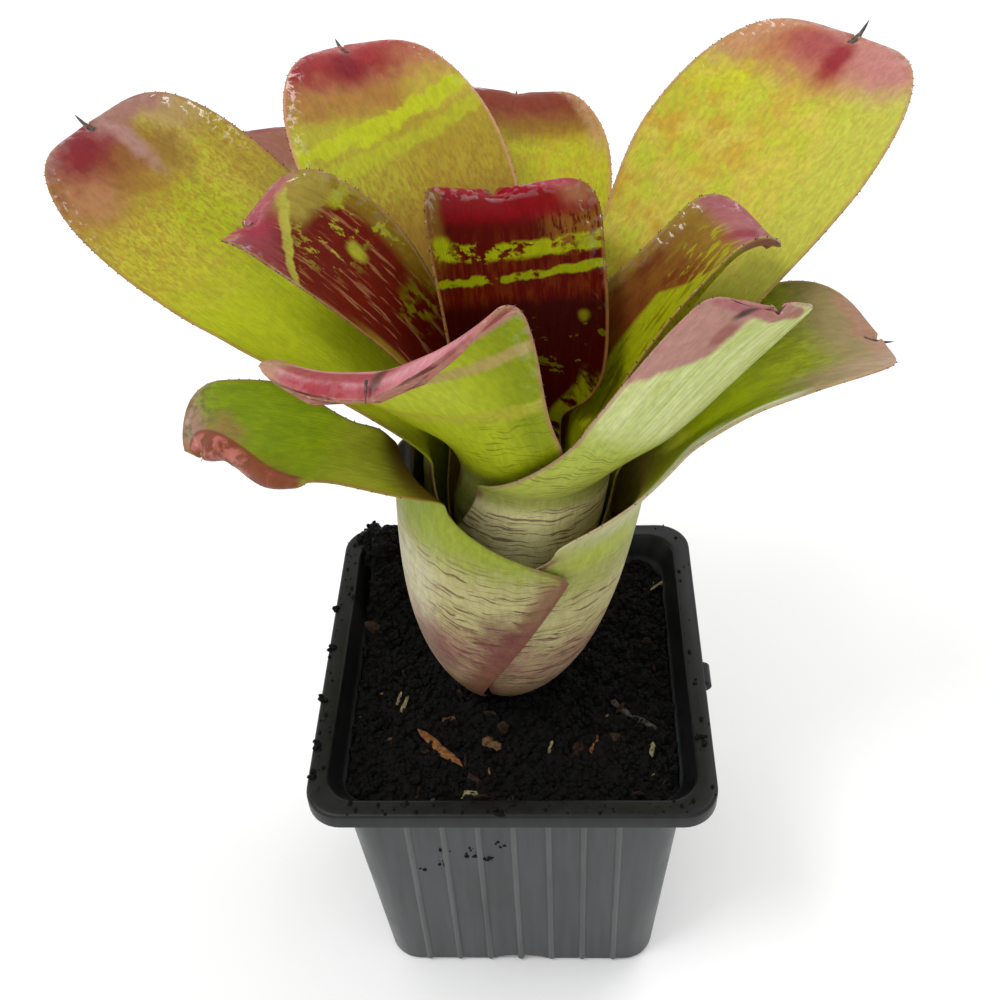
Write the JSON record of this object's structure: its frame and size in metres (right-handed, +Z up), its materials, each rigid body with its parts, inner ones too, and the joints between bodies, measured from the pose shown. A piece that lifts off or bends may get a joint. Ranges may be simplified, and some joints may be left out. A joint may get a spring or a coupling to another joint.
{
  "type": "bromeliad",
  "caption": "Broad-leaved tank bromeliad: a rosette of strap leaves with clasping sheaths, on a short stem in the soil of a small square nursery pot.",
  "frame": {"origin": "middle of the flat underside of the pot, which stands on the surface", "axes": "+Z up, -Y to the front, the pot's walls square to X and Y"},
  "size_m": [0.1864, 0.1555, 0.2015],
  "materials": {
    "pot_plastic": "satin moulded black plastic",
    "potting_mix": "damp crumbly peat and bark",
    "stem": "dull fibrous",
    "leaf_green": "smooth waxy leaf, lime to olive with crimson tips",
    "leaf_maroon": "smooth glossy leaf, maroon with lime blotches"
  },
  "bodies": {
    "root": {"pot": "pot_plastic", "soil": "potting_mix", "stem": "stem", "leaf_01_left_low": "leaf_green", "leaf_02_right_low": "leaf_green", "leaf_03_back_left_low": "leaf_green", "leaf_04_back": "leaf_green", "leaf_05_left": "leaf_green", "leaf_06_right": "leaf_green", "leaf_07_front_right": "leaf_green", "leaf_08_back_left": "leaf_green", "leaf_09_front": "leaf_green", "leaf_10_inner_right": "leaf_maroon", "leaf_11_inner_left": "leaf_maroon", "leaf_12_inner_back": "leaf_maroon"}
  },
  "joints": []
}
